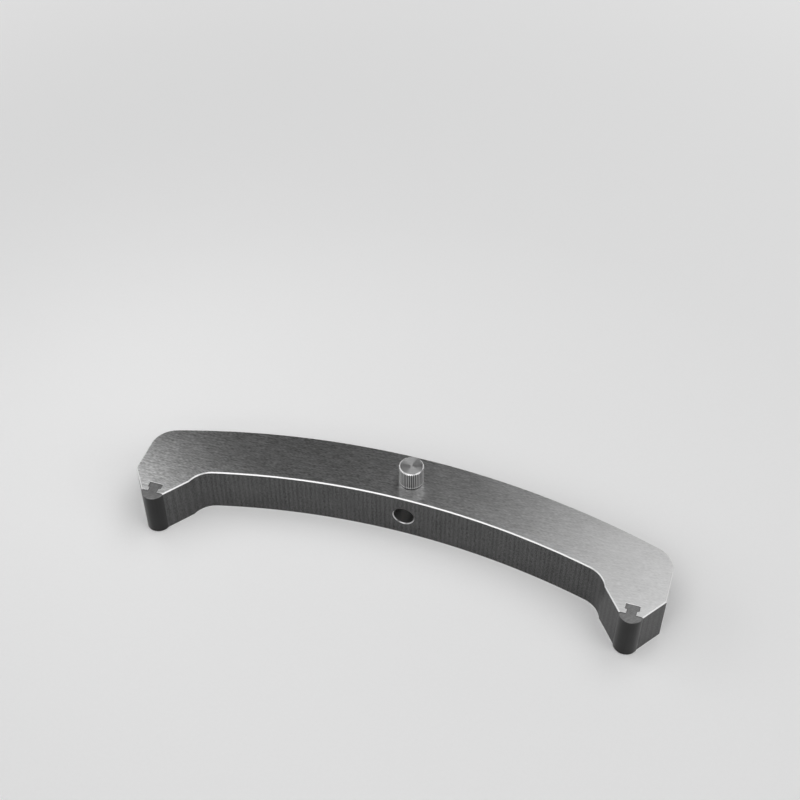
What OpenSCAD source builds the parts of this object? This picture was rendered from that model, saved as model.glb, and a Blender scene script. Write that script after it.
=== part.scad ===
// Radius gauge: an arched bridge that stands on a curved workpiece with its two half-round
// end contacts. A dial indicator's stem goes through the middle bore and is held by a
// knurled clamp screw. The gauge is drawn lying on its side, as it is stored.

/* [Bridge] */
// Distance from the centre of each contact to the end of the bridge beyond it
end_w = 11; // [8.5:0.5:20]
// Thickness of the plate that the bridge is milled from
plate_t = 20; // [16:0.5:30]
// Radius of the concave inner arc
arc_r = 287; // [240:1:400]
// Width of the curved bar, measured along the arc's radius
bar_w = 22.2; // [16:0.1:30]
// Height of the inner arc's crown above the line of the contact seats
arch_h = 25.5; // [24:0.5:36]
// Angle of the outer tapered faces to the line of the contact seats
taper_angle = 54.5; // [50:0.5:60]
// Angle of the inner flanks to the line of the contact seats
flank_angle = 53; // [50:0.5:60]
// Radius of the rounded outer corners
corner_r = 10; // [4:0.5:12]
// Radius of the milled relief where the inner arc meets the flank
relief_r = 10; // [5:0.5:12]
// Depth to which that relief undercuts the flank
relief_undercut = 0.6; // [0.3:0.1:1.5]
// Chamfer on the outline's edges
edge_c = 0.4; // [0.2:0.1:1]

/* [Contacts] */
// Distance between the centres of the two contacts
contact_span = 184; // [176:0.5:188]
// Radius of the round contact face
contact_r = 4.5; // [3.5:0.1:5]
// Distance of the round face's centre behind the seat
contact_inset = 1; // [0:0.1:1.5]
// Depth of the contact's ends below the plate's faces
contact_recess = 0.2; // [0.1:0.05:0.5]
// Chamfer on the contact's round ends
contact_c = 0.25; // [0.1:0.05:0.5]
// Width of the T-slot's neck
slot_neck_w = 3.6; // [2.5:0.1:4.5]
// Depth of the T-slot's neck
slot_neck_d = 2; // [1.5:0.1:3]
// Width of the T-slot's head
slot_head_w = 5.2; // [4.8:0.1:6]
// Depth of the T-slot's head
slot_head_d = 2.4; // [1.5:0.1:3]
// Gap between the contact's tongue and the slot, on each side
slot_clearance = 0.1; // [0.02:0.02:0.2]

/* [Stem bore] */
// Diameter of the indicator stem
stem_d = 8; // [6:0.5:9.5]
// Sliding clearance of the bore over the stem, on the diameter
stem_clearance = 0.04; // [0.02:0.01:0.08]
// Chamfer at both mouths of the bore
bore_c = 0.3; // [0.2:0.1:0.8]

/* [Clamp screw] */
// Distance of the screw's axis from the crown of the inner arc
clamp_in = 10; // [7:0.5:13]
// Thread diameter of the clamp screw
screw_d = 4; // [4:0.5:5]
// Running clearance of the threaded hole, on the radius
screw_clearance = 0.05; // [0.02:0.01:0.1]
// Countersink at the mouth of the threaded hole
screw_mouth_c = 0.4; // [0.2:0.1:0.8]
// Diameter of the knurled knob
knob_d = 9.6; // [8:0.1:14]
// Height of the knurled knob
knob_h = 8.2; // [6:0.1:10]
// Chamfer on the knob's two rims
knob_c = 0.5; // [0.3:0.1:1]
// Gap between the knob and the plate with the screw backed off
knob_gap = 0.3; // [0.2:0.05:0.6]
// Number of knurl grooves
knurl_count = 40; // [30:1:60]
// Depth of the knurl grooves
knurl_depth = 0.25; // [0.1:0.05:0.4]

/* [Pressure pad] */
// Diameter of the pad that bears on the stem
pad_d = 3.4; // [3:0.1:3.6]
// Thickness of the pad
pad_t = 1; // [0.8:0.1:1.5]
// Height of the backed-off pad above the bore
pad_lift = 0.1; // [0.05:0.05:0.2]
// Diameter of the pad's neck in the screw's tip
neck_d = 1.4; // [1.2:0.1:1.5]
// Length of the pad's neck
neck_l = 0.6; // [0.4:0.1:1]
// Diameter of the snap head on the pad's neck
snap_d = 1.8; // [1.7:0.1:2]
// Length of the snap head
snap_l = 0.8; // [0.5:0.1:1.2]
// Gap around the pad's neck and head in the screw's tip
pad_clearance = 0.06; // [0.04:0.01:0.1]

/* [Hidden] */
$fn = 96;

// How far cutters and blocks reach past the faces that they cut
over = 1;
reach = 2 * (contact_span + arc_r);

// The seats of the contacts lie on y = 0 until the finished pieces are centred
arc_y = arch_h - arc_r;
outer_r = arc_r + bar_w;
contact_x = contact_span / 2;
half_l = contact_x + end_w;
seat_half_w = sqrt(pow(contact_r, 2) - pow(contact_inset, 2));
seat_in_x = contact_x - seat_half_w;
seat_out_x = contact_x + seat_half_w;
tip_y = contact_inset - contact_r;
crown_y = arch_h + bar_w;
mid_y = (tip_y + crown_y) / 2;

// The rounded corner stands proud of both faces that it joins by this much, so that they cross cleanly
corner_blend = 0.02;
corner_x = half_l + corner_blend - corner_r;
corner_reach = outer_r + corner_blend - corner_r;
corner_y = arc_y + sqrt(pow(corner_reach, 2) - pow(corner_x, 2));
corner_sweep = atan2(corner_y - arc_y, corner_x);

// The relief's centre lies a set distance inside the flank and a set distance from the arc's centre
relief_blend = 0.1;
relief_reach = arc_r + relief_blend - relief_r;
taper_facing = 90 - taper_angle;
flank_facing = 90 - flank_angle;
relief_depth = seat_in_x * cos(flank_facing) - (relief_r - relief_undercut) - arc_y * sin(flank_facing);
relief_turn = flank_facing + acos(relief_depth / relief_reach);
relief_x = relief_reach * cos(relief_turn);
relief_y = arc_y + relief_reach * sin(relief_turn);

bore_r = (stem_d + stem_clearance) / 2;
bore_z = plate_t / 2;
clamp_y = arch_h + clamp_in;
screw_r = screw_d / 2;
screw_hole_r = screw_r + screw_clearance;
knob_z = plate_t + knob_gap;
pad_z = bore_z + bore_r + pad_lift;
tip_z = pad_z + pad_t + pad_clearance;
tip_c = 0.3;
pad_c = 0.2;
snap_wall = 0.3;

// Section through a chamfered edge: the first coordinate runs outwards from the edge's face
function solid_edge(r, depth) = [
    [r - depth, 0], [r - edge_c, 0], [r, edge_c],
    [r, plate_t - edge_c], [r - edge_c, plate_t], [r - depth, plate_t]
];

// Section through a space whose rims flare by the same chamfer
function open_edge(r, depth) = [
    [r - depth, -over], [r + edge_c + over, -over], [r, edge_c],
    [r, plate_t - edge_c], [r + edge_c + over, plate_t + over], [r - depth, plate_t + over]
];

// Section through a cylinder with both rims chamfered
function chamfered_rod(r, z0, z1, c) = [
    [0, z0], [r - c, z0], [r, z0 + c], [r, z1 - c], [r - c, z1], [0, z1]
];

// Centres the gauge on the origin, which lies at the bottom of its box
module centred() {
    translate([0, -mid_y, 0]) children();
}

module both_sides() {
    children();
    mirror([1, 0, 0]) children();
}

// Runs an edge section along the straight line through [x, y, 0] that faces the given angle
module along_line(x, y, facing) {
    translate([x, y, 0])
        rotate([0, 0, facing])
            rotate([90, 0, 0])
                linear_extrude(height = 2 * reach, center = true)
                    children();
}

// The bridge's outer form: a disc cut by the end faces, the tapered faces and the seat line
module bridge_blank() {
    intersection() {
        translate([0, arc_y, 0])
            rotate_extrude($fn = 256) polygon(solid_edge(outer_r, outer_r));
        along_line(half_l, 0, 0) polygon(solid_edge(0, reach));
        along_line(-half_l, 0, 180) polygon(solid_edge(0, reach));
        along_line(seat_out_x, 0, -taper_facing) polygon(solid_edge(0, reach));
        along_line(-seat_out_x, 0, 180 + taper_facing) polygon(solid_edge(0, reach));
        translate([-reach, 0, -over]) cube([2 * reach, reach, plate_t + 2 * over]);
    }
}

// What a rounded outer corner takes off the blank
module corner_cut() {
    translate([corner_x, corner_y, 0])
        rotate_extrude(angle = corner_sweep)
            polygon([
                [corner_r, edge_c], [corner_r, plate_t - edge_c],
                [corner_r - edge_c - over, plate_t + over], [3 * corner_r, plate_t + over],
                [3 * corner_r, -over], [corner_r - edge_c - over, -over]
            ]);
}

// The space under the arch, with a round relief in each of its corners
module arch_space() {
    intersection() {
        translate([0, arc_y, 0])
            rotate_extrude($fn = 256) polygon(open_edge(arc_r, arc_r));
        along_line(seat_in_x, 0, flank_facing) polygon(open_edge(0, reach));
        along_line(-seat_in_x, 0, 180 - flank_facing) polygon(open_edge(0, reach));
    }
    both_sides()
        translate([relief_x, relief_y, 0])
            rotate_extrude() polygon(open_edge(relief_r, relief_r));
}

// T-shaped profile that enters its part across y = 0; gap narrows it to the tongue that fits in it
module t_profile(gap, root) {
    neck = slot_neck_w / 2 - gap;
    head = slot_head_w / 2 - gap;
    shoulder = slot_neck_d + gap;
    back = slot_neck_d + slot_head_d - gap;
    polygon([
        [-neck, -root], [neck, -root], [neck, shoulder], [head, shoulder],
        [head, back], [-head, back], [-head, shoulder], [-neck, shoulder]
    ]);
}

// Through bore for the indicator's stem, chamfered at both mouths
module stem_bore() {
    translate([0, arch_h, bore_z])
        rotate([-90, 0, 0]) {
            translate([0, 0, -over]) cylinder(r = bore_r, h = bar_w + 2 * over);
            translate([0, 0, -over])
                cylinder(r1 = bore_r + bore_c + over, r2 = bore_r, h = bore_c + over);
            translate([0, 0, bar_w - bore_c])
                cylinder(r1 = bore_r, r2 = bore_r + bore_c + over, h = bore_c + over);
        }
}

// Clamp screw's hole, from the upper face down into the stem bore
module screw_hole() {
    translate([0, clamp_y, bore_z]) cylinder(r = screw_hole_r, h = plate_t - bore_z + over);
    translate([0, clamp_y, plate_t - screw_mouth_c])
        cylinder(
            r1 = screw_hole_r,
            r2 = screw_hole_r + screw_mouth_c + over,
            h = screw_mouth_c + over
        );
}

module bridge() {
    color("silver")
        centred()
            difference() {
                bridge_blank();
                both_sides() corner_cut();
                arch_space();
                both_sides()
                    translate([contact_x, 0, -over])
                        linear_extrude(height = plate_t + 2 * over) t_profile(0, over);
                stem_bore();
                screw_hole();
            }
}

// Hardened half-round contact, held by its T-shaped tongue
module contact() {
    low = contact_recess;
    high = plate_t - contact_recess;
    intersection() {
        translate([0, contact_inset, 0])
            rotate_extrude() polygon(chamfered_rod(contact_r, low, high, contact_c));
        translate([-2 * contact_r, -2 * contact_r, 0])
            cube([4 * contact_r, 2 * contact_r, plate_t]);
    }
    translate([0, 0, low])
        linear_extrude(height = high - low) t_profile(slot_clearance, contact_r / 4);
}

module contact_left() {
    color("dimgray") centred() translate([-contact_x, 0, 0]) contact();
}

module contact_right() {
    color("dimgray") centred() translate([contact_x, 0, 0]) contact();
}

// Straight knurl: one vee groove per pitch, cut into the knob's round
module knurl_profile() {
    pitch = 360 / knurl_count;
    polygon([
        for (i = [0 : knurl_count - 1])
            each [
                knob_d / 2 * [cos(i * pitch), sin(i * pitch)],
                (knob_d / 2 - knurl_depth) * [cos((i + 0.5) * pitch), sin((i + 0.5) * pitch)]
            ]
    ]);
}

// Knurled round with its rims cut back by a larger chamfered rod
module knob() {
    rim_c = knob_c + 2 * over;
    translate([0, 0, knob_z])
        intersection() {
            linear_extrude(height = knob_h) knurl_profile();
            rotate_extrude() polygon(chamfered_rod(knob_d / 2 + over, -over, knob_h + over, rim_c));
        }
}

// Socket in the screw's tip that the pad snaps into
module snap_socket() {
    neck = neck_d / 2 + pad_clearance;
    chamber = snap_d / 2 + pad_clearance;
    mouth = neck_l - 2 * pad_clearance;
    depth = mouth + snap_l + 2 * pad_clearance;
    translate([0, 0, tip_z])
        rotate_extrude()
            polygon([
                [0, -over], [neck, -over], [neck, mouth], [chamber, mouth],
                [chamber, depth], [0, depth + snap_wall]
            ]);
}

module clamp_screw() {
    color("gainsboro")
        centred()
            translate([0, clamp_y, 0])
                difference() {
                    union() {
                        knob();
                        rotate_extrude()
                            polygon(chamfered_rod(screw_r, tip_z, knob_z + knob_h / 2, tip_c));
                    }
                    snap_socket();
                }
}

// Soft pad that presses on the stem, free to turn in the screw's tip
module pressure_pad() {
    neck_z = pad_z + pad_t + neck_l;
    color("darkgoldenrod")
        centred()
            translate([0, clamp_y, 0])
                rotate_extrude()
                    polygon([
                        [0, pad_z], [pad_d / 2 - pad_c, pad_z], [pad_d / 2, pad_z + pad_c],
                        [pad_d / 2, pad_z + pad_t], [neck_d / 2, pad_z + pad_t],
                        [neck_d / 2, neck_z], [snap_d / 2, neck_z],
                        [snap_d / 2, neck_z + snap_l], [0, neck_z + snap_l]
                    ]);
}

bridge();
contact_left();
contact_right();
clamp_screw();
pressure_pad();
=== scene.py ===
"""Radius gauge: its visible pieces, their finishes and the studio, built on the packed frame."""
from math import acos, asin, atan2, cos, hypot, pi, radians, sin, sqrt, tan

import bmesh
import bpy
from bpy.props import FloatProperty, FloatVectorProperty, IntProperty, PointerProperty
from bpy.types import Operator, Panel, PropertyGroup
from mathutils import Matrix, Vector


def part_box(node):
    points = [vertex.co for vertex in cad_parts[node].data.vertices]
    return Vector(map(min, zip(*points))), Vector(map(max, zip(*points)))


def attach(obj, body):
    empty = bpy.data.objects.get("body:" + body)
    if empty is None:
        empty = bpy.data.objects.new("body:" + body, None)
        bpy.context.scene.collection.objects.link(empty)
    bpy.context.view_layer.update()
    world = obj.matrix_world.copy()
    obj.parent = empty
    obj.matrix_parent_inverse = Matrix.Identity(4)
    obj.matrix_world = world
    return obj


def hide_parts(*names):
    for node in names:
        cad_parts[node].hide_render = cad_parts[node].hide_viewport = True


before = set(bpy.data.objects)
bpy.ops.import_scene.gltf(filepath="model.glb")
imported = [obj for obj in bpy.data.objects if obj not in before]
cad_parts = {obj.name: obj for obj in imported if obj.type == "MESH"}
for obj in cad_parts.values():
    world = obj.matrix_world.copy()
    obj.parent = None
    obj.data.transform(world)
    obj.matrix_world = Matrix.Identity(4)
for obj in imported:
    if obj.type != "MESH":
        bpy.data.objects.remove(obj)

bl_info = {
    "name": "Radius Gauge",
    "version": (1, 0, 0),
    "blender": (4, 5, 0),
    "location": "View3D > Sidebar > Gauge",
    "description": "Models an arched radius gauge with its contacts, clamp screw and pad",
    "category": "Add Mesh",
}

MM = 0.001
UP = Vector((0, 0, 1))
CLOSE = 0.01 * MM       # two places nearer than this are the same
WELD = 1e-6             # points nearer than this are merged after a cut
FINE_WELD = 1e-7        # and after drawing or turning a profile
OVERRUN = 1 * MM        # how far a cutter stands out of what it cuts
UPRIGHT = 0.3           # a face whose normal has less than this along an axis lies along it
LEVEL = 0.95            # and one whose normal has more than this lies across it
SMOOTH_ANGLE = radians(20)
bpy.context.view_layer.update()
BRIDGE_LOW, BRIDGE_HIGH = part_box("bridge")
CONTACT_LOW, CONTACT_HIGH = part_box("contact_right")
SCREW_LOW, SCREW_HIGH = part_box("clamp_screw")
PAD_LOW, PAD_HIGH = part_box("pressure_pad")


def length(name, description, default):
    """A size in metres."""
    return FloatProperty(
        name=name, description=description, default=default, min=0,
        precision=5, subtype="DISTANCE", unit="LENGTH",
    )


def place(name, description, default):
    """A signed coordinate in metres."""
    return FloatProperty(
        name=name, description=description, default=default,
        precision=5, subtype="DISTANCE", unit="LENGTH",
    )


def turn_angle(name, description, default):
    """An angle, given in degrees."""
    return FloatProperty(
        name=name, description=description, default=radians(default),
        subtype="ANGLE", unit="ROTATION",
    )


def share(name, description, default):
    """A plain number."""
    return FloatProperty(name=name, description=description, default=default, min=0)


def tint(name, description, default):
    """A linear colour."""
    return FloatVectorProperty(
        name=name, description=description, default=default,
        size=3, min=0, max=1, subtype="COLOR",
    )


class GaugeBridge(PropertyGroup):
    """Sizes of the milled bridge."""

    half_length: length("Half length", "From the middle to an end face", BRIDGE_HIGH.x)
    thickness: length("Thickness", "Thickness of the plate", BRIDGE_HIGH.z)
    crown: place("Crown", "Where the convex back's crown lies", BRIDGE_HIGH.y)
    seat: place("Seat line", "Where the contacts' seats lie", BRIDGE_LOW.y)
    arc_radius: length("Arc radius", "Radius of the concave arc", 287 * MM)
    bar_width: length("Bar width", "Width of the curved bar", 22.2 * MM)
    taper: turn_angle("Taper", "Angle of the outer tapered faces to the seat line", 54.5)
    flank: turn_angle("Flank", "Angle of the inner flanks to the seat line", 53)
    corner_radius: length("Corner radius", "Rounding of the outer corners", 10 * MM)
    relief_radius: length("Relief radius", "Radius of the milled relief", 10 * MM)
    relief_undercut: length("Relief undercut", "How far the relief cuts the flank", 0.6 * MM)
    chamfer: length("Chamfer", "Chamfer round the outline", 0.4 * MM)
    slot_break: length("Slot edge", "Edge break round the T-slots", 0.12 * MM)
    bore_radius: length("Bore radius", "Radius of the stem bore", 4.02 * MM)
    bore_chamfer: length("Bore chamfer", "Chamfer at the bore's mouths", 0.3 * MM)


class GaugeContacts(PropertyGroup):
    """Sizes of the half-round contacts and of the T-slots that hold them."""

    offset: length("Offset", "From the middle to a contact's centre", 92 * MM)
    radius: length("Radius", "Radius of the round face", 4.5 * MM)
    inset: length("Inset", "The round face's centre behind the seat", 1 * MM)
    chamfer: length("Chamfer", "Chamfer on both ends", 0.25 * MM)
    neck_width: length("Neck width", "Width of the T-slot's neck", 3.6 * MM)
    neck_depth: length("Neck depth", "Depth of the T-slot's neck", 2 * MM)
    head_width: length("Head width", "Width of the T-slot's head", 5.2 * MM)
    head_depth: length("Head depth", "Depth of the T-slot's head", 2.4 * MM)
    gap: length("Gap", "Gap round the tongue", 0.1 * MM)


class GaugeScrew(PropertyGroup):
    """Sizes of the clamp screw, its hole and its pad."""

    axis_y: place("Axis", "Where the screw's axis lies", (SCREW_LOW.y + SCREW_HIGH.y) / 2)
    thread_radius: length("Thread radius", "Outer radius of the thread", 2 * MM)
    thread_depth: length("Thread depth", "Depth of the thread", 0.43 * MM)
    pitch: length("Pitch", "Pitch of the thread", 0.7 * MM)
    hole_gap: length("Hole gap", "Gap of the hole round the thread", 0.05 * MM)
    knob_radius: length("Knob radius", "Radius over the knurl", 4.8 * MM)
    knob_height: length("Knob height", "Height of the knob", 8.2 * MM)
    knob_chamfer: length("Knob chamfer", "Chamfer on the knob's upper rim", 0.5 * MM)
    foot_chamfer: length("Foot chamfer", "Broken edge on the knob's lower rim", 0.12 * MM)
    knurl_count: IntProperty(
        name="Knurl count", description="Grooves round the knob", default=40, min=12, max=90
    )
    knurl_depth: length("Knurl depth", "Depth of the knurl grooves", 0.25 * MM)
    neck_radius: length("Neck radius", "Radius of the pad's neck", 0.7 * MM)
    snap_radius: length("Snap radius", "Radius of the pad's snap head", 0.9 * MM)
    pad_thickness: length("Pad thickness", "Thickness of the pad", 1 * MM)
    neck_length: length("Neck length", "Length of the pad's neck", 0.6 * MM)
    snap_gap: length("Snap gap", "Gap round the neck and the snap head", 0.06 * MM)


class GaugeFinishes(PropertyGroup):
    """Colours of the finishes."""

    face: tint("Brushed face", "Flat faces of the bridge", (0.58, 0.58, 0.58))
    # This dark tone is partly the milled finish and partly painted shade on the upright faces.
    wall: tint("Milled wall", "Upright faces of the bridge", (0.1, 0.1, 0.1))
    edge: tint("Bright edge", "Chamfers of the bridge", (0.82, 0.82, 0.82))
    bore: tint("Bored wall", "Inside of the stem bore", (0.4, 0.4, 0.4))
    flare: tint("Bore flare", "Chamfers at the bore's mouths", (0.6, 0.6, 0.6))
    contact: tint("Ground steel", "Round faces of the contacts", (0.04, 0.04, 0.04))
    contact_end: tint("Lapped steel", "Ends of the contacts", (0.21, 0.21, 0.21))
    knob: tint("Turned steel", "Faced end of the clamp screw", (0.52, 0.52, 0.52))
    knurl: tint("Knurled steel", "Knurl and shank of the clamp screw", (0.32, 0.32, 0.32))
    pad: tint("Brass", "The pressure pad", (0.6, 0.42, 0.16))


class GaugeStage(PropertyGroup):
    """Camera, floor and studio light."""

    azimuth: turn_angle("Azimuth", "Camera's turn to the right", 17.794)
    elevation: turn_angle("Elevation", "Camera's height angle", 45.726)
    roll: turn_angle("Roll", "Camera's turn about its own axis", 0.089)
    camera_place: FloatVectorProperty(
        name="Camera", description="Where the camera stands", size=3,
        default=(100.01 * MM, -312.57 * MM, 413.76 * MM), subtype="TRANSLATION", unit="LENGTH",
    )
    lens: share("Lens", "Focal length in millimetres", 61.185)
    floor: tint("Floor", "The floor's colour", (0.92, 0.92, 0.92))
    walls: share("Walls", "Radiance of the room's walls", 0.85)
    ceiling: share("Ceiling", "Radiance of the room's ceiling", 0.02)


class Pencil:
    """Draws a line in edit mode, one operator for each straight or round stretch."""

    def __init__(self, name, start):
        bpy.ops.object.select_all(action="DESELECT")
        bpy.ops.mesh.primitive_plane_add(size=MM, enter_editmode=True)
        self.piece = bpy.context.object
        self.piece.name = self.piece.data.name = name
        bpy.ops.mesh.select_mode(type="VERT")
        bpy.ops.mesh.merge(type="CENTER")
        bpy.ops.transform.translate(value=start)
        self.point = Vector(start)

    def line(self, *points):
        """Goes straight to each point in turn."""
        for point in map(Vector, points):
            bpy.ops.mesh.extrude_vertices_move(
                TRANSFORM_OT_translate={"value": point - self.point}
            )
            self.point = point

    def arc(self, centre, angle, steps):
        """Goes round an upright axis through the centre, anticlockwise from above."""
        centre = Vector(centre)
        bpy.ops.mesh.spin(steps=steps, angle=-angle, center=centre, axis=UP)
        self.point = centre + Matrix.Rotation(angle, 3, "Z") @ (self.point - centre)

    def close(self):
        """Joins the ends where they meet and leaves edit mode."""
        bpy.ops.mesh.select_all(action="SELECT")
        bpy.ops.mesh.remove_doubles(threshold=FINE_WELD)
        leave_edit()
        return self.piece


def activate(piece):
    """Selects a piece alone and makes it the active one."""
    bpy.ops.object.select_all(action="DESELECT")
    piece.select_set(True)
    bpy.context.view_layer.objects.active = piece


def edit(piece, mode="FACE"):
    """Opens a piece in edit mode with all of it selected."""
    activate(piece)
    bpy.ops.object.mode_set(mode="EDIT")
    bpy.ops.mesh.select_mode(type=mode)
    bpy.ops.mesh.select_all(action="SELECT")


def leave_edit():
    """Goes back to object mode."""
    bpy.ops.object.mode_set(mode="OBJECT")


def pick(parts, test):
    """Selects the faces or edges of the piece in edit mode that pass a test of their place."""
    mesh = bpy.context.object.data
    form = bmesh.from_edit_mesh(mesh)
    bpy.ops.mesh.select_all(action="DESELECT")
    found = [part for part in getattr(form, parts) if test(part)]
    for part in found:
        part.select_set(True)
    form.select_flush_mode()
    bmesh.update_edit_mesh(mesh)
    return len(found)


def slice_off(point, way):
    """Cuts off what lies past a plane, in edit mode, and closes the cut."""
    bpy.ops.mesh.select_all(action="SELECT")
    bpy.ops.mesh.bisect(
        plane_co=point, plane_no=way, use_fill=True, clear_outer=True, threshold=FINE_WELD
    )


def apply_last(piece):
    """Applies the modifier that was added last."""
    activate(piece)
    bpy.ops.object.modifier_apply(modifier=piece.modifiers[-1].name)


def combine(piece, other, operation):
    """Cuts, joins or crosses a piece with another, which is used up."""
    activate(piece)
    bpy.ops.object.modifier_add(type="BOOLEAN")
    boolean = piece.modifiers[-1]
    boolean.operation = operation
    boolean.solver = "EXACT"
    boolean.object = other
    apply_last(piece)
    activate(other)
    bpy.ops.object.delete()
    edit(piece, "VERT")
    bpy.ops.mesh.remove_doubles(threshold=WELD)
    leave_edit()


def raise_plate(piece, height, chamfer):
    """Fills an outline, raises it to a plate and chamfers both its rims."""
    edit(piece, "EDGE")
    bpy.ops.mesh.edge_face_add()
    bpy.ops.mesh.select_mode(type="FACE")
    bpy.ops.mesh.select_all(action="SELECT")
    bpy.ops.mesh.extrude_region_move(
        TRANSFORM_OT_translate={"value": (0, 0, height - 2 * chamfer)}
    )
    bpy.ops.mesh.select_all(action="SELECT")
    bpy.ops.mesh.normals_make_consistent(inside=False)
    for side in (1, -1):
        if chamfer and pick("faces", lambda face: face.normal.z * side > LEVEL):
            bpy.ops.mesh.inset(thickness=chamfer, depth=chamfer)
    leave_edit()


def turn(piece, centre, axis, steps):
    """Turns a profile into a closed round form."""
    edit(piece, "VERT")
    bpy.ops.mesh.spin(
        steps=steps, angle=2 * pi, center=centre, axis=axis, use_auto_merge=True
    )
    bpy.ops.mesh.select_all(action="SELECT")
    bpy.ops.mesh.remove_doubles(threshold=FINE_WELD)
    bpy.ops.mesh.normals_make_consistent(inside=False)
    leave_edit()


def lathe(name, centre, profile, steps):
    """Turns a profile of radii and heights about an upright axis."""
    points = [Vector((centre[0] + radius, centre[1], z)) for radius, z in profile]
    pencil = Pencil(name, points[0])
    pencil.line(*points[1:])
    turn(pencil.close(), (centre[0], centre[1], 0), UP, steps)
    return pencil.piece


def finish_piece(piece, body, node, materials):
    """Shades a piece, gives faces their finishes and ties it to the frame."""
    activate(piece)
    bpy.ops.object.shade_smooth_by_angle(angle=SMOOTH_ANGLE)
    for material, _ in materials:
        bpy.ops.object.material_slot_add()
        piece.material_slots[-1].material = material
    edit(piece)
    for index, (_, test) in enumerate(materials):
        pick("faces", test)
        piece.active_material_index = index
        bpy.ops.object.material_slot_assign()
    form = bmesh.from_edit_mesh(piece.data)
    loose = sum(not joint.is_manifold for joint in form.edges)
    leave_edit()
    if loose:
        raise RuntimeError(f"{piece.name} is not closed: {loose} edges are open")
    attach(piece, body)
    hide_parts(node)


class Value:
    """A socket's value. Arithmetic on it adds Math nodes to its tree."""

    def __init__(self, finish, socket):
        self.finish = finish
        self.socket = socket

    def maths(self, operation, first, second):
        """A Math node on two values or numbers."""
        return self.finish.node("Math", {"operation": operation}, {0: first, 1: second})

    def __add__(self, other):
        return self.maths("ADD", self, other)

    __radd__ = __add__

    def __sub__(self, other):
        return self.maths("SUBTRACT", self, other)

    def __rsub__(self, other):
        return self.maths("SUBTRACT", other, self)

    def __mul__(self, other):
        return self.maths("MULTIPLY", self, other)

    __rmul__ = __mul__

    def __truediv__(self, other):
        return self.maths("DIVIDE", self, other)


class Finish:
    """The nodes of a material, or of the room when it is given a world."""

    def __init__(self, name, world=None):
        self.owner = world or bpy.data.materials.new(name)
        self.owner.use_nodes = True
        self.tree = self.owner.node_tree
        self.tree.nodes.clear()
        self.here = self.node("TexCoord", output="Generated" if world else "Object")

    def node(self, kind, settings=None, inputs=None, output=0):
        """Adds any node: its settings first, then its sockets' values and links."""
        made = self.tree.nodes.new("ShaderNode" + kind)
        for key, setting in (settings or {}).items():
            setattr(made, key, setting)
        for key, value in (inputs or {}).items():
            if isinstance(value, Value):
                self.tree.links.new(value.socket, made.inputs[key])
            else:
                made.inputs[key].default_value = value
        return Value(self, made.outputs[output]) if made.outputs else None

    def noise(self, scale, turn_z=0, centre=(0, 0, 0), detail=2, roughness=0.5):
        """Noise whose grains are as long as one over the scale along each axis."""
        spread = self.node(
            "Mapping",
            {"vector_type": "TEXTURE"},
            {
                "Vector": self.here,
                "Location": centre,
                "Rotation": (0, 0, turn_z),
                "Scale": tuple(1 / each for each in scale),
            },
        )
        return self.node(
            "TexNoise",
            {"noise_dimensions": "3D"},
            {"Vector": spread, "Scale": 1.0, "Detail": detail, "Roughness": roughness},
            "Fac",
        )

    def radius(self, centre, axis):
        """Distance from an axis through the centre."""
        local = self.node(
            "VectorMath", {"operation": "SUBTRACT"}, {0: self.here, 1: centre}
        )
        flat = self.node(
            "VectorMath",
            {"operation": "MULTIPLY"},
            {0: local, 1: tuple(1 - abs(each) for each in axis)},
        )
        return self.node("VectorMath", {"operation": "LENGTH"}, {0: flat}, "Value")

    def rings(self, radius, spacing):
        """Random turning marks along a radius, as far apart as the spacing."""
        return self.node(
            "TexNoise",
            {"noise_dimensions": "1D"},
            {"W": radius / spacing, "Scale": 1.0, "Detail": 3, "Roughness": 0.6},
            "Fac",
        )

    def along(self, axis):
        """The place along X, Y or Z."""
        return self.node("SeparateXYZ", {}, {0: self.here}, axis)

    def ribs(self, spacing):
        """Even ridges across X, as far apart as the spacing."""
        wave = self.node(
            "Math", {"operation": "SINE"}, {0: self.along("X") * (2 * pi / spacing)}
        )
        return 0.5 + 0.5 * wave

    def step(self, value, start, end):
        """Goes from 0 to 1 as a value goes from start to end."""
        return self.node(
            "MapRange", {"clamp": True},
            {"Value": value, "From Min": start, "From Max": end, "To Min": 0.0, "To Max": 1.0},
        )

    def shade(self, colour, factor):
        """The colour, lightened or darkened by a factor that is 1 on average."""
        grey = self.node("CombineColor", {}, {0: factor, 1: factor, 2: factor})
        return self.node(
            "Mix",
            {"data_type": "RGBA", "blend_type": "MULTIPLY", "clamp_result": True},
            {0: 1.0, 6: (*colour, 1), 7: grey},
            2,
        )

    def relief(self, height, distance):
        """A bump, its height given from 0 to 1 and its distance in metres."""
        return self.node("Bump", {}, {"Height": height, "Distance": distance, "Strength": 1.0})

    def metal(self, colour, roughness, normal, **extra):
        """Bare metal. Extra inputs are named after their sockets, in small letters."""
        inputs = {
            "Base Color": colour, "Metallic": 1.0, "Roughness": roughness, "Normal": normal,
        }
        inputs.update({key.replace("_", " ").title(): value for key, value in extra.items()})
        surface = self.node("BsdfPrincipled", {}, inputs)
        self.node("OutputMaterial", {}, {"Surface": surface})
        return self.owner


def brushed_face(colour):
    """Flat faces: brushed streaks along the length, fainter towards the right end."""
    finish = Finish("brushed_face")
    streaks = finish.noise((220, 1300, 900), radians(3), detail=2)
    hairs = finish.noise((800, 4400, 900), radians(-3), detail=0)
    cloud = finish.noise((60, 110, 90), detail=1)
    depth = 1.2 - 0.85 * finish.step(finish.along("X"), -20 * MM, 80 * MM)
    tone = 1 + depth * (streaks + hairs - 1) + 0.2 * (cloud - 0.5)
    return finish.metal(
        finish.shade(colour, tone),
        0.31 + 0.05 * (streaks - 0.5) + 0.03 * (cloud - 0.5),
        finish.relief(0.5 * streaks + 0.5 * hairs, 0.012 * MM),
    )


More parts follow.
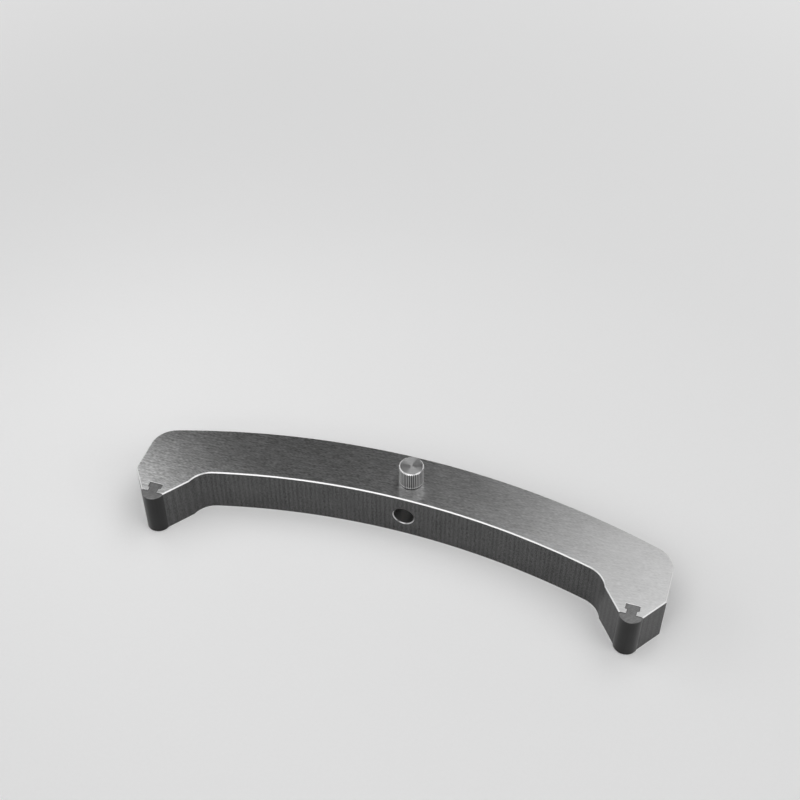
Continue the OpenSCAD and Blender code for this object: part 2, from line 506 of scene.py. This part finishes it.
def milled_wall(colour):
    """Upright faces: the cutter's even feed marks and fine lines from top to bottom."""
    feed = 1.73 * MM
    finish = Finish("milled_wall")
    ribs = finish.ribs(feed)
    lines = finish.noise((1400, 1400, 70), detail=1)
    grain = finish.noise((3400, 3400, 1500), detail=1)
    cloud = finish.noise((90, 90, 120), detail=2)
    tone = 1 + 0.22 * (ribs - 0.5) + 0.5 * (lines - 0.5) + 1.6 * (grain - 0.5) + 0.4 * (cloud - 0.5)
    return finish.metal(
        finish.shade(colour, tone),
        0.42 + 0.15 * (lines - 0.5) + 0.1 * (cloud - 0.5),
        finish.relief(0.4 * ribs + 0.5 * lines + 0.3 * grain, 0.03 * MM),
    )


def bright_edge(colour, name="bright_edge"):
    """Chamfers: a clean bright cut with faint nicks."""
    finish = Finish(name)
    nicks = finish.noise((600, 600, 600), detail=2)
    return finish.metal(
        finish.shade(colour, 1 + 0.12 * (nicks - 0.5)),
        0.3 + 0.12 * (nicks - 0.5),
        finish.relief(nicks, 0.006 * MM),
    )


def bored_wall(colour, centre):
    """Inside of the bore: turning marks along its axis."""
    finish = Finish("bored_wall")
    marks = finish.noise((60, 2600, 60), centre=centre, detail=2)
    return finish.metal(
        finish.shade(colour, 1 + 0.3 * (marks - 0.5)),
        0.4 + 0.15 * (marks - 0.5),
        finish.relief(marks, 0.01 * MM),
    )


def ground_steel(colour):
    """Round contact faces: grinding lines along their length."""
    finish = Finish("ground_steel")
    lines = finish.noise((2200, 2200, 50), detail=3, roughness=0.6)
    cloud = finish.noise((150, 150, 90), detail=2)
    return finish.metal(
        finish.shade(colour, 1 + 0.3 * (lines - 0.5) + 0.3 * (cloud - 0.5)),
        0.33 + 0.16 * (lines - 0.5),
        finish.relief(lines, 0.006 * MM),
    )


def lapped_steel(colour):
    """Contact ends: fine slanting scratches."""
    finish = Finish("lapped_steel")
    scratches = finish.noise((500, 3200, 900), radians(52), detail=2, roughness=0.6)
    cloud = finish.noise((700, 700, 700), detail=2)
    return finish.metal(
        finish.shade(colour, 1 + 0.9 * (scratches - 0.5) + 0.5 * (cloud - 0.5)),
        0.36 + 0.16 * (scratches - 0.5),
        finish.relief(scratches, 0.008 * MM),
    )


def turned_steel(colour, centre):
    """Faced end of the knob: turning rings that spread the light across them."""
    finish = Finish("turned_steel")
    rings = finish.rings(finish.radius(centre, UP), 0.12 * MM)
    return finish.metal(
        finish.shade(colour, 1 + 0.35 * (rings - 0.5)),
        0.46 + 0.12 * (rings - 0.5),
        finish.relief(rings, 0.004 * MM),
        anisotropic=0.9,
        anisotropic_rotation=0.25,
    )


def knurled_steel(colour, size, centre, rim):
    """Knurl and thread: painted shade in the grooves and on the knob's underside and foot chamfer,
    and a painted highlight in a band along the lower rim.
    """
    band, blur = 0.35 * MM, 0.05 * MM
    finish = Finish("knurled_steel")
    radius = finish.radius(centre, UP)
    height = finish.along("Z")
    groove, crest = (size.knob_radius - part * size.knurl_depth for part in (0.88, 0.16))
    # Painted shade: only the knurl's ridges above the lower rim keep the full tone; the grooves,
    # foot chamfer and underside stay dark.
    unshaded_crests = finish.step(radius, groove, crest) * finish.step(height, rim - 2 * blur, rim)
    shank = finish.step(radius, 1.5 * size.thread_radius, 1.25 * size.thread_radius)
    # Painted highlight in a band just above the lower rim.
    painted_rim_highlight = finish.step(height, rim - blur, rim + blur) * finish.step(
        height, rim + 2 * band, rim + band
    )
    lines = finish.noise((1800, 1800, 200), detail=2)
    # The base of 0.06 is the painted shade level in the grooves and under the knob.
    tone = 0.06 + 1.2 * unshaded_crests + shank + 1.1 * painted_rim_highlight + 0.3 * (lines - 0.5)
    return finish.metal(
        finish.shade(colour, tone),
        0.34 + 0.15 * (lines - 0.5),
        finish.relief(lines, 0.004 * MM),
    )


def turned_brass(colour, centre):
    """Brass with turning rings and a little tarnish."""
    finish = Finish("turned_brass")
    rings = finish.rings(finish.radius(centre, UP), 0.1 * MM)
    cloud = finish.noise((900, 900, 900), detail=2)
    return finish.metal(
        finish.shade(colour, 1 + 0.25 * (rings - 0.5) + 0.3 * (cloud - 0.5)),
        0.32 + 0.15 * (cloud - 0.5),
        finish.relief(rings, 0.004 * MM),
    )


def studio_floor(colour, distant):
    """Pale matt floor with a faint paper grain, which far away takes on the walls' brightness."""
    fade_start, fade_end = 0.2, 0.65
    finish = Finish("studio_floor")
    grain = finish.noise((900, 900, 900), detail=3)
    paper = finish.node(
        "BsdfPrincipled",
        {},
        {
            "Base Color": finish.shade(colour, 1 + 0.03 * (grain - 0.5)),
            "Roughness": 0.85,
            "Specular IOR Level": 0.2,
        },
    )
    glow = finish.node("Emission", {}, {"Color": (1, 1, 1, 1), "Strength": distant})
    seen = sum(
        finish.node("LightPath", output=ray)
        for ray in ("Is Camera Ray", "Is Glossy Ray", "Is Transmission Ray")
    )
    far = finish.step(finish.radius((0, 0, 0), UP), fade_start, fade_end)
    surface = finish.node("MixShader", {}, {0: far * seen, 1: paper, 2: glow})
    finish.node("OutputMaterial", {}, {"Surface": surface})
    return finish.owner


def draw_bridge(size, contacts):
    """Draws the right half of the outline, from the back's crown round to the arch's crown.

    The tapered end runs on past the seat line, where it is cut off later.
    """
    z = size.chamfer
    outer = size.arc_radius + size.bar_width
    hub = Vector((0, size.crown - outer, z))

    corner_x = size.half_length - size.corner_radius
    corner_turn = asin(corner_x / (outer - size.corner_radius))
    corner = hub + (outer - size.corner_radius) * Vector((sin(corner_turn), cos(corner_turn), 0))

    seat_half = sqrt(contacts.radius**2 - contacts.inset**2)
    seat_in = Vector((contacts.offset - seat_half, size.seat, z))
    seat_out = Vector((contacts.offset + seat_half, size.seat, z))
    run_on = 1.2 * MM
    shoulder_y = size.seat + (size.half_length - seat_out.x) * tan(size.taper)

    facing = pi / 2 - size.flank
    away = Vector((cos(facing), sin(facing), 0))
    along = Vector((-sin(facing), cos(facing), 0))
    inside = size.relief_radius - size.relief_undercut
    reach = size.arc_radius - size.relief_radius
    relief_turn = facing + acos(((seat_in - hub).dot(away) - inside) / reach)
    relief = hub + reach * Vector((cos(relief_turn), sin(relief_turn), 0))
    half_chord = sqrt(size.relief_radius**2 - inside**2)
    kink = relief + inside * away - half_chord * along
    kink_turn = atan2(kink.y - relief.y, kink.x - relief.x)

    pencil = Pencil("bridge_body", (0, size.crown, z))
    pencil.arc(hub, -corner_turn, steps=96)
    pencil.arc(corner, corner_turn - pi / 2, steps=24)
    pencil.line(
        (size.half_length, shoulder_y, z),
        seat_out + run_on * Vector((-1 / tan(size.taper), -1, 0)),
        seat_in + run_on * Vector((1 / tan(size.flank), -1, 0)),
        kink,
    )
    pencil.arc(relief, relief_turn - kink_turn, steps=24)
    pencil.arc(hub, pi / 2 - relief_turn, steps=96)
    piece = pencil.close()

    bpy.ops.object.modifier_add(type="MIRROR")
    mirror = piece.modifiers[-1]
    mirror.use_clip = True
    mirror.merge_threshold = WELD
    apply_last(piece)
    return piece


def draw_tongue(name, contacts, seat, gap, root, z):
    """Draws the T-shaped profile at the right contact, narrowed by a gap."""
    neck = contacts.neck_width / 2 - gap
    head = contacts.head_width / 2 - gap
    step = contacts.neck_depth + gap
    back = contacts.neck_depth + contacts.head_depth - gap
    profile = [
        (neck, -root), (neck, step), (head, step), (head, back),
        (-head, back), (-head, step), (-neck, step), (-neck, -root),
    ]
    points = [Vector((contacts.offset + x, seat + y, z)) for x, y in profile]
    pencil = Pencil(name, points[0])
    pencil.line(*points[1:])
    return pencil, points[0]


class GAUGE_OT_bridge(Operator):
    """Models the milled bridge with its slots, bore and screw hole"""

    bl_idname = "gauge.bridge"
    bl_label = "Bridge"

    def execute(self, context):
        scene = context.scene
        size, contacts, screw = scene.gauge_bridge, scene.gauge_contacts, scene.gauge_screw
        colours = scene.gauge_finishes
        piece = draw_bridge(size, contacts)
        raise_plate(piece, size.thickness, size.chamfer)

        edit(piece)
        slice_off((0, size.seat, 0), (0, -1, 0))
        leave_edit()
        self.cut_slots(piece, size, contacts)
        self.cut_bore(piece, size)
        self.cut_screw_hole(piece, size, screw)

        bore = Vector((0, 0, size.thickness / 2))

        def in_bore(face):
            spot = face.calc_center_median()
            off_axis = hypot(spot.x - bore.x, spot.z - bore.z)
            return off_axis < size.bore_radius + size.bore_chamfer and abs(face.normal.y) < LEVEL

        def in_flare(face):
            return in_bore(face) and abs(face.normal.y) > UPRIGHT

        finish_piece(
            piece, "frame", "bridge",
            [
                # The upright faces' dark colour is partly painted shade.
                (milled_wall(colours.wall), lambda face: abs(face.normal.z) <= UPRIGHT),
                (brushed_face(colours.face), lambda face: abs(face.normal.z) >= LEVEL),
                (bright_edge(colours.edge), lambda face: UPRIGHT < abs(face.normal.z) < LEVEL),
                (bored_wall(colours.bore, bore), in_bore),
                (bright_edge(colours.flare, "bright_flare"), in_flare),
            ],
        )
        return {"FINISHED"}

    @staticmethod
    def cut_slots(piece, size, contacts):
        """Cuts both T-slots and breaks their rims."""
        pencil, start = draw_tongue("slot", contacts, size.seat, 0, OVERRUN, -OVERRUN)
        pencil.line(start)
        slot = pencil.close()
        raise_plate(slot, size.thickness + 2 * OVERRUN, 0)
        activate(slot)
        bpy.ops.object.modifier_add(type="MIRROR")
        slot.modifiers[-1].use_mirror_merge = False
        apply_last(slot)
        combine(piece, slot, "DIFFERENCE")

        def on_slot_rim(edge):
            reach_x = contacts.head_width / 2 + CLOSE
            reach_y = size.seat + contacts.neck_depth + contacts.head_depth + CLOSE
            ends = [joint.co for joint in edge.verts]
            at_rim = all(
                min(abs(end.z), abs(end.z - size.thickness)) < CLOSE
                and abs(abs(end.x) - contacts.offset) < reach_x
                and end.y < reach_y
                for end in ends
            )
            on_seat = all(abs(end.y - size.seat) < CLOSE for end in ends)
            return at_rim and not on_seat

        edit(piece, "EDGE")
        if not pick("edges", on_slot_rim):
            raise RuntimeError("the T-slots have no rim to break")
        bpy.ops.mesh.bevel(offset=size.slot_break, segments=1, affect="EDGES")
        leave_edit()

    @staticmethod
    def cut_bore(piece, size):
        """Bores the stem's hole and flares both its mouths."""
        middle = size.thickness / 2
        inner_y = size.crown - size.bar_width
        flare = size.bore_radius + size.bore_chamfer + OVERRUN
        points = [
            Vector((radius, y, middle))
            for radius, y in (
                (0, inner_y - OVERRUN), (flare, inner_y - OVERRUN),
                (size.bore_radius, inner_y + size.bore_chamfer),
                (size.bore_radius, size.crown - size.bore_chamfer),
                (flare, size.crown + OVERRUN), (0, size.crown + OVERRUN),
            )
        ]
        pencil = Pencil("bore", points[0])
        pencil.line(*points[1:])
        turn(pencil.close(), (0, 0, middle), (0, 1, 0), steps=128)
        combine(piece, pencil.piece, "DIFFERENCE")

    @staticmethod
    def cut_screw_hole(piece, size, screw):
        """Drills and countersinks the screw's hole down to the bore."""
        hole = screw.thread_radius + screw.hole_gap
        mouth = 0.4 * MM
        above = size.thickness + OVERRUN
        cutter = lathe(
            "screw_hole",
            (0, screw.axis_y),
            [
                (0, size.thickness / 2), (hole, size.thickness / 2),
                (hole, size.thickness - mouth),
                (hole + mouth + OVERRUN, above), (0, above),
            ],
            steps=64,
        )
        combine(piece, cutter, "DIFFERENCE")


class GAUGE_OT_contacts(Operator):
    """Models the right contact and copies it to the left"""

    bl_idname = "gauge.contacts"
    bl_label = "Contacts"

    def execute(self, context):
        scene = context.scene
        contacts, seat = scene.gauge_contacts, scene.gauge_bridge.seat
        colours = scene.gauge_finishes
        low, high = CONTACT_LOW.z, CONTACT_HIGH.z
        pencil, start = draw_tongue("contact_right_body", contacts, seat, contacts.gap, 0, low)
        centre = Vector((contacts.offset, seat + contacts.inset, low))
        seat_half = sqrt(contacts.radius**2 - contacts.inset**2)
        lean = asin(contacts.inset / contacts.radius)
        pencil.line((contacts.offset - seat_half, seat, low))
        pencil.arc(centre, pi - 2 * lean, steps=64)
        pencil.line(start)
        right = pencil.close()
        raise_plate(right, high - low, 0)

        def on_round_rim(edge):
            ends = [joint.co for joint in edge.verts]
            level = abs(ends[0].z - ends[1].z) < CLOSE
            return level and all(
                abs((end.xy - centre.xy).length - contacts.radius) < CLOSE for end in ends
            )

        edit(right, "EDGE")
        if not pick("edges", on_round_rim):
            raise RuntimeError("the contact has no round rim to chamfer")
        bpy.ops.mesh.bevel(offset=contacts.chamfer, segments=1, affect="EDGES")
        leave_edit()

        activate(right)
        bpy.ops.object.duplicate()
        left = bpy.context.object
        left.name = left.data.name = "contact_left_body"
        edit(left)
        bpy.ops.transform.translate(value=(-2 * contacts.offset, 0, 0))
        leave_edit()

        side = ground_steel(colours.contact)
        end = lapped_steel(colours.contact_end)
        for piece, node in ((right, "contact_right"), (left, "contact_left")):
            finish_piece(
                piece, "frame", node,
                [
                    (side, lambda face: abs(face.normal.z) < UPRIGHT),
                    (end, lambda face: abs(face.normal.z) >= UPRIGHT),
                ],
            )
        return {"FINISHED"}


class GAUGE_OT_clamp_screw(Operator):
    """Models the clamp screw with its knurl, thread and socket"""

    bl_idname = "gauge.clamp_screw"
    bl_label = "Clamp screw"

    def execute(self, context):
        scene = context.scene
        size, colours = scene.gauge_screw, scene.gauge_finishes
        axis = (0, size.axis_y)
        top = SCREW_HIGH.z
        foot = top - size.knob_height
        tip = SCREW_LOW.z

        knob = self.turn_knob(size, axis, foot, top)
        self.cut_knurl(knob, size, foot, top)
        shank = self.wind_thread(size, axis, tip, foot)
        combine(knob, shank, "UNION")
        self.cut_socket(knob, size, axis, tip)

        centre = (0, size.axis_y, 0)
        end_depth, least_slope, most_slope = 0.2 * MM, 0.5, 0.8
        finish_piece(
            knob, "screw", "clamp_screw",
            [
                (
                    knurled_steel(colours.knurl, size, centre, foot + size.foot_chamfer),
                    lambda face: True,
                ),
                (
                    turned_steel(colours.knob, centre),
                    lambda face: face.calc_center_median().z > top - end_depth,
                ),
                (
                    bright_edge(colours.edge, "bright_rim"),
                    lambda face: least_slope < face.normal.z < most_slope
                    and face.calc_center_median().z > foot,
                ),
            ],
        )
        return {"FINISHED"}

    @staticmethod
    def turn_knob(size, axis, foot, top):
        """Turns the knob's blank with chamfered rims and a centre mark."""
        radius, chamfer, broken = size.knob_radius, size.knob_chamfer, size.foot_chamfer
        mark_radius, mark_depth = 0.25 * MM, 0.12 * MM
        return lathe(
            "clamp_screw_body",
            axis,
            [
                (0, foot), (radius - broken, foot), (radius, foot + broken),
                (radius, top - chamfer), (radius - chamfer, top),
                (mark_radius, top), (0, top - mark_depth),
            ],
            steps=160,
        )

    @staticmethod
    def cut_knurl(knob, size, foot, top):
        """Cuts vee grooves all round, modelled once and spun round the axis."""
        groove_share, widen = 0.8, 1.15
        half = widen * groove_share * pi * size.knob_radius / size.knurl_count
        bottom = size.knob_radius - size.knurl_depth
        outside = bottom + widen * size.knurl_depth
        points = [
            Vector((x, size.axis_y + y, foot - OVERRUN))
            for x, y in ((bottom, 0), (outside, half), (outside, -half))
        ]
        pencil = Pencil("knurl", points[0])
        pencil.line(*points[1:], points[0])
        groove = pencil.close()
        raise_plate(groove, top - foot + 2 * OVERRUN, 0)
        edit(groove)
        bpy.ops.mesh.spin(
            steps=size.knurl_count - 1,
            dupli=True,
            angle=2 * pi * (size.knurl_count - 1) / size.knurl_count,
            center=(0, size.axis_y, 0),
            axis=UP,
        )
        leave_edit()
        combine(knob, groove, "DIFFERENCE")

    @staticmethod
    def wind_thread(size, axis, tip, foot):
        """Winds a thread, cuts it square at both ends and chamfers its tip."""
        sunk, bevel, spare = 0.3 * MM, 0.4 * MM, 0.1 * MM
        early_turns, spare_turns = 1.5, 4
        crest = size.thread_radius
        root = crest - size.thread_depth
        flank = size.thread_depth * tan(pi / 6)
        crest_z = size.pitch - flank - size.pitch / 8
        start = tip - early_turns * size.pitch
        points = [
            Vector((radius, 0, start + z))
            for radius, z in (
                (root, 0), (root, crest_z - flank), (crest, crest_z),
                (crest, size.pitch - flank), (root, size.pitch),
            )
        ]
        pencil = Pencil("thread", points[0])
        pencil.line(*points[1:])
        thread = pencil.close()
        bpy.ops.object.modifier_add(type="SCREW")
        helix = thread.modifiers[-1]
        helix.screw_offset = size.pitch
        helix.iterations = int((foot - tip) / size.pitch) + spare_turns
        helix.steps = helix.render_steps = 48
        apply_last(thread)

        edit(thread, "VERT")
        bpy.ops.mesh.remove_doubles(threshold=WELD)
        for z, way in ((tip, -1), (foot + sunk, 1)):
            slice_off((0, 0, z), (0, 0, way))
        bpy.ops.mesh.select_all(action="SELECT")
        bpy.ops.mesh.normals_make_consistent(inside=False)
        bpy.ops.transform.translate(value=(axis[0], axis[1], 0))
        leave_edit()

        bevelled = lathe(
            "bevelled",
            axis,
            [
                (0, tip - spare), (crest - bevel, tip - spare), (crest + spare, tip + bevel),
                (crest + spare, foot + OVERRUN), (0, foot + OVERRUN),
            ],
            steps=96,
        )
        combine(thread, bevelled, "INTERSECT")
        return thread

    @staticmethod
    def cut_socket(knob, size, axis, tip):
        """Cuts the socket in the tip that the pad snaps into."""
        head_length, drill_point = 0.8 * MM, 0.3 * MM
        neck = size.neck_radius + size.snap_gap
        chamber = size.snap_radius + size.snap_gap
        mouth = tip + size.neck_length - 2 * size.snap_gap
        end = mouth + head_length + 2 * size.snap_gap
        socket = lathe(
            "socket",
            axis,
            [
                (0, tip - OVERRUN), (neck, tip - OVERRUN), (neck, mouth), (chamber, mouth),
                (chamber, end), (0, end + drill_point),
            ],
            steps=64,
        )
        combine(knob, socket, "DIFFERENCE")


class GAUGE_OT_pressure_pad(Operator):
    """Turns the brass pad with its neck and snap head"""

    bl_idname = "gauge.pressure_pad"
    bl_label = "Pressure pad"

    def execute(self, context):
        scene = context.scene
        size, colours = scene.gauge_screw, scene.gauge_finishes
        radius = (PAD_HIGH.x - PAD_LOW.x) / 2
        low, high = PAD_LOW.z, PAD_HIGH.z
        edge, broken, lead_in = 0.2 * MM, 0.1 * MM, 0.3 * MM
        shelf = low + size.pad_thickness
        step = shelf + size.neck_length
        pad = lathe(
            "pressure_pad_body",
            (0, size.axis_y),
            [
                (0, low), (radius - edge, low), (radius, low + edge),
                (radius, shelf - broken), (radius - broken, shelf),
                (size.neck_radius, shelf), (size.neck_radius, step),
                (size.snap_radius, step + broken), (size.snap_radius, high - lead_in),
                (size.snap_radius - lead_in, high), (0, high),
            ],
            steps=96,
        )
        finish_piece(
            pad, "pad", "pressure_pad",
            [(turned_brass(colours.pad, (0, size.axis_y, 0)), lambda face: True)],
        )
        return {"FINISHED"}


def aim(azimuth, elevation, roll=0):
    """Turn of a camera or lamp that stands at an azimuth and elevation and looks inwards."""
    return (
        Matrix.Rotation(azimuth, 4, "Z")
        @ Matrix.Rotation(pi / 2 - elevation, 4, "X")
        @ Matrix.Rotation(roll, 4, "Z")
    )


class GAUGE_OT_stage(Operator):
    """Sets the floor, the studio light and the camera"""

    bl_idname = "gauge.stage"
    bl_label = "Stage"

    FLOOR_SIZE = 40
    SENSOR_WIDTH = 36
    CLIP_START = 0.01
    SOFTBOXES = (
        # name, azimuth and elevation in degrees, distance, width and height in metres, radiance
        ("front_softbox", -8, 45, 2.6, 2.6, 1.4, 1.1),
        ("right_softbox", 80, 32, 2.4, 1.6, 1.4, 1.1),
        ("side_softbox", -72, 28, 2.4, 2.0, 1.0, 1.0),
        ("fill_softbox", 20, 66, 3.0, 4.0, 2.2, 1.15),
        ("back_softbox", 148, 56, 1.0, 0.7, 0.45, 1.3),
        ("top_softbox", 200, 85, 0.5, 0.5, 0.24, 1.15),
        ("left_softbox", 255, 46, 0.26, 0.1, 0.1, 1.6),
    )

    def execute(self, context):
        stage = context.scene.gauge_stage
        self.lay_floor(stage)
        self.light_room(context, stage)
        for name, azimuth, elevation, distance, width, height, radiance in self.SOFTBOXES:
            self.add_softbox(
                name, radians(azimuth), radians(elevation), distance, width, height, radiance
            )
        self.place_camera(context, stage)
        context.scene.view_settings.view_transform = "Standard"
        return {"FINISHED"}

    def lay_floor(self, stage):
        """Lays the floor under the gauge."""
        bpy.ops.object.select_all(action="DESELECT")
        bpy.ops.mesh.primitive_plane_add(size=self.FLOOR_SIZE)
        floor = bpy.context.object
        floor.name = floor.data.name = "floor"
        floor.data.materials.append(studio_floor(stage.floor, stage.walls))

    @staticmethod
    def light_room(context, stage):
        """Pale walls all round, which fade into a dim ceiling."""
        wall_top, ceiling_start = 0.15, 0.35
        context.scene.world = bpy.data.worlds.new("room")
        room = Finish("room", context.scene.world)
        level = room.node(
            "MapRange",
            {"interpolation_type": "SMOOTHSTEP"},
            {
                "Value": room.along("Z"), "From Min": wall_top, "From Max": ceiling_start,
                "To Min": stage.walls, "To Max": stage.ceiling,
            },
        )
        light = room.node("Background", {}, {"Color": (1, 1, 1, 1), "Strength": level})
        room.node("OutputWorld", {}, {"Surface": light})

    @staticmethod
    def add_softbox(name, azimuth, elevation, distance, width, height, radiance):
        """Adds an area lamp that faces the origin and is as bright as its radiance says."""
        turned = aim(azimuth, elevation)
        bpy.ops.object.light_add(type="AREA")
        lamp = bpy.context.object
        lamp.name = lamp.data.name = name
        lamp.matrix_world = turned @ Matrix.Translation((0, 0, distance))
        lamp.data.shape = "RECTANGLE"
        lamp.data.size = width
        lamp.data.size_y = height
        lamp.data.energy = radiance * pi * width * height
        lamp.visible_camera = False

    def place_camera(self, context, stage):
        """Sets the camera where the fit puts it."""
        bpy.ops.object.camera_add()
        camera = bpy.context.object
        camera.name = camera.data.name = "photo_camera"
        camera.matrix_world = Matrix.Translation(stage.camera_place) @ aim(
            stage.azimuth, stage.elevation, stage.roll
        )
        camera.data.sensor_width = self.SENSOR_WIDTH
        camera.data.lens = stage.lens
        camera.data.clip_start = self.CLIP_START
        context.scene.camera = camera


GROUPS = {
    "gauge_bridge": GaugeBridge,
    "gauge_contacts": GaugeContacts,
    "gauge_screw": GaugeScrew,
    "gauge_finishes": GaugeFinishes,
    "gauge_stage": GaugeStage,
}
OPERATORS = (
    GAUGE_OT_bridge,
    GAUGE_OT_contacts,
    GAUGE_OT_clamp_screw,
    GAUGE_OT_pressure_pad,
    GAUGE_OT_stage,
)


class GAUGE_PT_panel(Panel):
    """Lists the gauge's sizes, colours and building steps"""

    bl_idname = "GAUGE_PT_panel"
    bl_label = "Radius Gauge"
    bl_space_type = "VIEW_3D"
    bl_region_type = "UI"
    bl_category = "Gauge"

    def draw(self, context):
        for operator in OPERATORS:
            self.layout.operator(operator.bl_idname)
        for name, group in GROUPS.items():
            box = self.layout.box()
            box.label(text=group.__doc__)
            for key in group.__annotations__:
                box.prop(getattr(context.scene, name), key)


def register():
    """Registers the sizes, the building steps and the panel."""
    for name, group in GROUPS.items():
        bpy.utils.register_class(group)
        setattr(bpy.types.Scene, name, PointerProperty(type=group))
    for operator in OPERATORS:
        bpy.utils.register_class(operator)
    bpy.utils.register_class(GAUGE_PT_panel)


def unregister():
    """Takes back all that register added."""
    bpy.utils.unregister_class(GAUGE_PT_panel)
    for operator in reversed(OPERATORS):
        bpy.utils.unregister_class(operator)
    for name, group in reversed(GROUPS.items()):
        delattr(bpy.types.Scene, name)
        bpy.utils.unregister_class(group)


def main():
    """Builds the gauge and its stage."""
    register()
    bpy.ops.gauge.bridge()
    bpy.ops.gauge.contacts()
    bpy.ops.gauge.clamp_screw()
    bpy.ops.gauge.pressure_pad()
    bpy.ops.gauge.stage()


if __name__ == "__main__":
    main()
